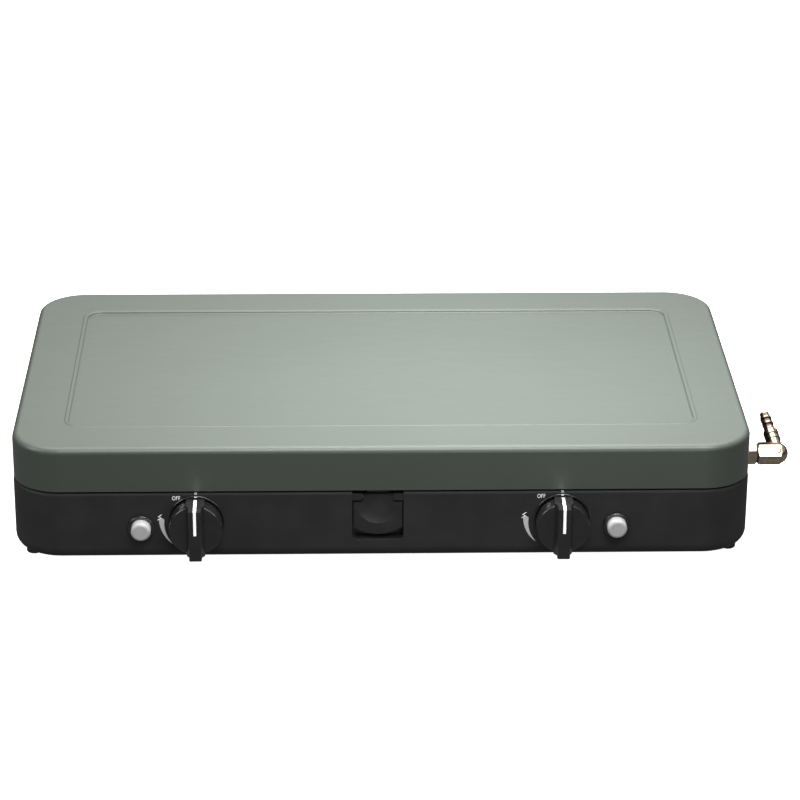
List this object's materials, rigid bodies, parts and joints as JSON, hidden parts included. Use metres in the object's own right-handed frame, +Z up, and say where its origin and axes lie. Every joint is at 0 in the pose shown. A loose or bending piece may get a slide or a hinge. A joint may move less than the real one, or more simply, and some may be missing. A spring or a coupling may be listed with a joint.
{
  "type": "camping stove",
  "caption": "Two burner gas camping stove: black sheet steel case, hinged grey-green lid with a sunk panel, push and turn knobs, igniter buttons, side hose elbow.",
  "frame": {"origin": "on the table, below the middle of the stove's bounding box", "axes": "+X to the user's right along the long side, +Y towards the hinges at the rear, +Z up"},
  "size_m": [0.6376, 0.3742, 0.1013],
  "materials": {
    "case_black": "satin powder coat",
    "lid_paint": "satin hammered grey-green",
    "tray_enamel": "glossy enamel",
    "black_enamel": "matt enamel",
    "cast_aluminium": "as cast",
    "pipe_aluminium": "drawn",
    "valve_brass": "machined",
    "yellow_zinc": "yellow passivated zinc",
    "zinc_steel": "bright zinc",
    "spring_steel": "drawn wire",
    "knob_plastic": "fine grain",
    "latch_plastic": "semi gloss",
    "pointer_white": "smooth",
    "button_grey": "semi gloss",
    "black_rubber": "matt",
    "lead_sleeve": "silicone",
    "white_ceramic": "unglazed ceramic"
  },
  "bodies": {
    "case": {"base_pan": "case_black", "drip_tray": "tray_enamel", "tray_screws": "zinc_steel", "rubber_feet": "black_rubber", "burner_cup_left": "cast_aluminium", "burner_cup_right": "cast_aluminium", "burner_crown_left": "cast_aluminium", "burner_crown_right": "cast_aluminium", "burner_cap_left": "black_enamel", "burner_cap_right": "black_enamel", "burner_screws": "zinc_steel", "pan_support_left": "black_enamel", "pan_support_right": "black_enamel", "gas_valve_left": "valve_brass", "gas_valve_right": "valve_brass", "valve_screws": "zinc_steel", "injector_left": "valve_brass", "injector_right": "valve_brass", "valve_spring_left": "spring_steel", "valve_spring_right": "spring_steel", "gas_manifold": "pipe_aluminium", "inlet_fitting": "yellow_zinc", "inlet_locknut": "yellow_zinc", "sealing_washer": "black_rubber", "hose_elbow": "yellow_zinc", "knob_ring_left": "knob_plastic", "knob_ring_right": "knob_plastic", "igniter_body_left": "knob_plastic", "igniter_body_right": "knob_plastic", "igniter_ring_left": "knob_plastic", "igniter_ring_right": "knob_plastic", "igniter_spring_left": "spring_steel", "igniter_spring_right": "spring_steel", "ignition_lead_left": "lead_sleeve", "ignition_lead_right": "lead_sleeve", "spark_electrode_left": "zinc_steel", "spark_electrode_right": "zinc_steel", "electrode_ceramic_left": "white_ceramic", "electrode_ceramic_right": "white_ceramic", "base_hinge_leaves": "zinc_steel", "base_rivets": "zinc_steel", "hinge_pins": "zinc_steel", "latch_housing": "latch_plastic", "latch_pin": "zinc_steel"},
    "lid": {"lid_shell": "lid_paint", "lid_hinge_leaves": "zinc_steel", "lid_rivets": "zinc_steel", "lid_catch": "case_black"},
    "latch": {"latch_flap": "latch_plastic"},
    "tap_push_left": {"thrust_collar_left": "zinc_steel"},
    "dial_left": {"valve_spindle_left": "valve_brass", "knob_left": "knob_plastic", "pointer_left": "pointer_white"},
    "button_left": {"igniter_button_left": "button_grey"},
    "tap_push_right": {"thrust_collar_right": "zinc_steel"},
    "dial_right": {"valve_spindle_right": "valve_brass", "knob_right": "knob_plastic", "pointer_right": "pointer_white"},
    "button_right": {"igniter_button_right": "button_grey"}
  },
  "joints": [
    {"name": "lid_hinge", "type": "hinge", "parent": "case", "child": "lid", "pos_m": [-0.0233, 0.183, 0.062], "axis": [-1, 0, 0], "range_deg": [0, 105]},
    {"name": "latch_pivot", "type": "hinge", "parent": "case", "child": "latch", "pos_m": [-0.0233, -0.1515, 0.056], "axis": [-1, 0, 0], "range_deg": [0, 15]},
    {"name": "tap_push_left", "type": "slide", "parent": "case", "child": "tap_push_left", "axis": [0, 1, 0], "range_m": [0, 0.003], "stiffness_N_per_m": 2000, "springref_m": -0.002, "deforming": ["valve_spring_left"]},
    {"name": "dial_left", "type": "hinge", "parent": "tap_push_left", "child": "dial_left", "pos_m": [-0.1716, -0.158, 0.0373], "axis": [0, -1, 0], "range_deg": [0, 130]},
    {"name": "igniter_left", "type": "slide", "parent": "case", "child": "button_left", "axis": [0, 1, 0], "range_m": [0, 0.006], "stiffness_N_per_m": 1500, "springref_m": -0.003, "deforming": ["igniter_spring_left"]},
    {"name": "tap_push_right", "type": "slide", "parent": "case", "child": "tap_push_right", "axis": [0, 1, 0], "range_m": [0, 0.003], "stiffness_N_per_m": 2000, "springref_m": -0.002, "deforming": ["valve_spring_right"]},
    {"name": "dial_right", "type": "hinge", "parent": "tap_push_right", "child": "dial_right", "pos_m": [0.1194, -0.158, 0.0373], "axis": [0, -1, 0], "range_deg": [0, 130]},
    {"name": "igniter_right", "type": "slide", "parent": "case", "child": "button_right", "axis": [0, 1, 0], "range_m": [0, 0.006], "stiffness_N_per_m": 1500, "springref_m": -0.003, "deforming": ["igniter_spring_right"]}
  ]
}
